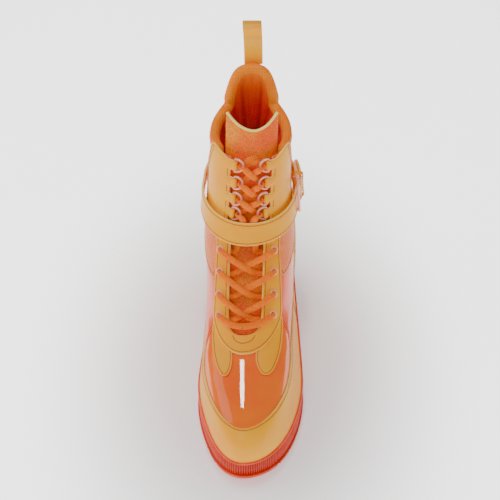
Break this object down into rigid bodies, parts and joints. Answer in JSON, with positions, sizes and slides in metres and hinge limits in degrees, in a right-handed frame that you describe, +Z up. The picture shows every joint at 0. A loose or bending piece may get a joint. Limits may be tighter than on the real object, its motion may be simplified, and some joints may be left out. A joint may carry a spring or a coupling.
{
  "type": "high top boot",
  "caption": "Laced high-top boot for one foot on a ribbed platform sole, with lace rings, eyelets, a buckled ankle strap, a padded collar and a pull loop at the heel",
  "frame": {"origin": "on the ground plane, under the middle of the sole's length, on the last's centre line", "axes": "+Z up; -Y points to the toe and +Y to the heel; +X is the lateral side, the outer side of a left foot"},
  "size_m": [0.1036, 0.297, 0.3221],
  "materials": {
    "gold_leather": "smooth golden-yellow leather, semi-gloss, pale cut edges and stitching",
    "patent": "orange patent leather, high gloss",
    "coral_patent": "coral patent leather, glossy",
    "pebbled_leather": "pebble-grained golden leather, satin",
    "lining": "deep orange-red textile lining, matt",
    "foam": "open-cell foam and light core, hidden",
    "board": "fibre board stiffener, hidden",
    "lace_cord": "round woven orange cord, matt",
    "sole_rubber": "red-orange rubber, satin",
    "painted_wire": "coral enamelled steel wire, gloss",
    "steel": "plain steel strip, hidden",
    "loop_webbing": "doubled golden leather strip"
  },
  "bodies": {
    "boot": {"outsole": "sole_rubber", "midsole_core": "foam", "ribbed_band": "sole_rubber", "welt": "sole_rubber", "shank": "steel", "insole_board": "board", "sockliner": "lining", "vamp": "patent", "quarter_lateral": "coral_patent", "shaft_panel_lateral": "coral_patent", "ankle_panel_lateral": "pebbled_leather", "facing_lateral": "gold_leather", "wing_lateral": "gold_leather", "quarter_medial": "coral_patent", "shaft_panel_medial": "coral_patent", "ankle_panel_medial": "pebbled_leather", "facing_medial": "gold_leather", "wing_medial": "gold_leather", "mudguard": "gold_leather", "heel_overlay": "gold_leather", "backstay": "gold_leather", "lace_stay": "gold_leather", "toe_puff": "board", "heel_counter": "board", "tongue": "pebbled_leather", "lining": "lining", "collar_foam": "foam", "collar_lining": "lining", "lace_lateral_end": "lace_cord", "lace_medial_end": "lace_cord", "eyelet_lateral_1": "painted_wire", "eyelet_lateral_2": "painted_wire", "eyelet_lateral_3": "painted_wire", "eyelet_lateral_4": "painted_wire", "eyelet_medial_1": "painted_wire", "eyelet_medial_2": "painted_wire", "eyelet_medial_3": "painted_wire", "eyelet_medial_4": "painted_wire", "ankle_strap": "gold_leather", "strap_end": "gold_leather", "strap_chape": "gold_leather", "strap_patch": "gold_leather", "loop_anchor": "gold_leather"},
    "tongue_top": {"tongue_flap": "pebbled_leather"},
    "loop": {"pull_loop": "loop_webbing"},
    "tip": {"strap_tip": "gold_leather"},
    "keeper": {"strap_keeper": "gold_leather"},
    "buckle": {"buckle_frame": "painted_wire"},
    "prong": {"buckle_prong": "painted_wire"},
    "ring_lateral_1": {"lace_ring_lateral_1": "painted_wire"},
    "ring_lateral_2": {"lace_ring_lateral_2": "painted_wire"},
    "ring_lateral_3": {"lace_ring_lateral_3": "painted_wire"},
    "ring_lateral_4": {"lace_ring_lateral_4": "painted_wire"},
    "ring_medial_1": {"lace_ring_medial_1": "painted_wire"},
    "ring_medial_2": {"lace_ring_medial_2": "painted_wire"},
    "ring_medial_3": {"lace_ring_medial_3": "painted_wire"},
    "ring_medial_4": {"lace_ring_medial_4": "painted_wire"}
  },
  "joints": [
    {"name": "ring_swivel_lateral_1", "type": "hinge", "parent": "boot", "child": "ring_lateral_1", "pos_m": [0.0137, 0.03585, 0.18492], "axis": [0.0352, 0.4011, 0.9153], "range_deg": [-5, 8]},
    {"name": "ring_swivel_lateral_2", "type": "hinge", "parent": "boot", "child": "ring_lateral_2", "pos_m": [0.01431, 0.04141, 0.19839], "axis": [0.0476, 0.369, 0.9282], "range_deg": [-5, 8]},
    {"name": "ring_swivel_lateral_3", "type": "hinge", "parent": "boot", "child": "ring_lateral_3", "pos_m": [0.01513, 0.04721, 0.21312], "axis": [0.0553, 0.3584, 0.9319], "range_deg": [-5, 8]},
    {"name": "ring_swivel_lateral_4", "type": "hinge", "parent": "boot", "child": "ring_lateral_4", "pos_m": [0.0161, 0.05337, 0.22928], "axis": [0.0547, 0.3587, 0.9319], "range_deg": [-5, 8]},
    {"name": "ring_swivel_medial_1", "type": "hinge", "parent": "boot", "child": "ring_medial_1", "pos_m": [-0.01831, 0.03588, 0.18495], "axis": [-0.0785, -0.4005, -0.9129], "range_deg": [-3, 8]},
    {"name": "ring_swivel_medial_2", "type": "hinge", "parent": "boot", "child": "ring_medial_2", "pos_m": [-0.01724, 0.04142, 0.19842], "axis": [-0.0654, -0.3675, -0.9277], "range_deg": [-3, 8]},
    {"name": "ring_swivel_medial_3", "type": "hinge", "parent": "boot", "child": "ring_medial_3", "pos_m": [-0.01636, 0.04721, 0.21315], "axis": [-0.0491, -0.3584, -0.9323], "range_deg": [-3, 8]},
    {"name": "ring_swivel_medial_4", "type": "hinge", "parent": "boot", "child": "ring_medial_4", "pos_m": [-0.01559, 0.05337, 0.22931], "axis": [-0.0395, -0.359, -0.9325], "range_deg": [-3, 8]},
    {"name": "buckle_tilt", "type": "hinge", "parent": "boot", "child": "buckle", "pos_m": [0.04333, 0.0801, 0.17504], "axis": [-0.0581, 0.2074, 0.9765], "range_deg": [0, 8]},
    {"name": "prong_pivot", "type": "hinge", "parent": "buckle", "child": "prong", "pos_m": [0.04333, 0.0801, 0.17504], "axis": [-0.0581, 0.2074, 0.9765], "range_deg": [0, 20]},
    {"name": "keeper_slide", "type": "slide", "parent": "boot", "child": "keeper", "axis": [0.0042, 0.9973, -0.0736], "range_m": [-0.0004, 0.006]},
    {"name": "strap_tip_lift", "type": "hinge", "parent": "boot", "child": "tip", "pos_m": [0.04708, 0.09544, 0.17687], "axis": [0.0572, -0.0624, -0.9964], "range_deg": [0, 35], "stiffness_Nm_per_rad": 0.02},
    {"name": "tongue_flap_flex", "type": "hinge", "parent": "boot", "child": "tongue_top", "pos_m": [0.00137, 0.06009, 0.23061], "axis": [1, 0, 0], "range_deg": [-10, 20], "stiffness_Nm_per_rad": 0.06},
    {"name": "pull_loop_flex", "type": "hinge", "parent": "boot", "child": "loop", "pos_m": [0.0005, 0.14757, 0.27428], "axis": [1, 0, 0], "range_deg": [-60, 30], "stiffness_Nm_per_rad": 0.03}
  ]
}
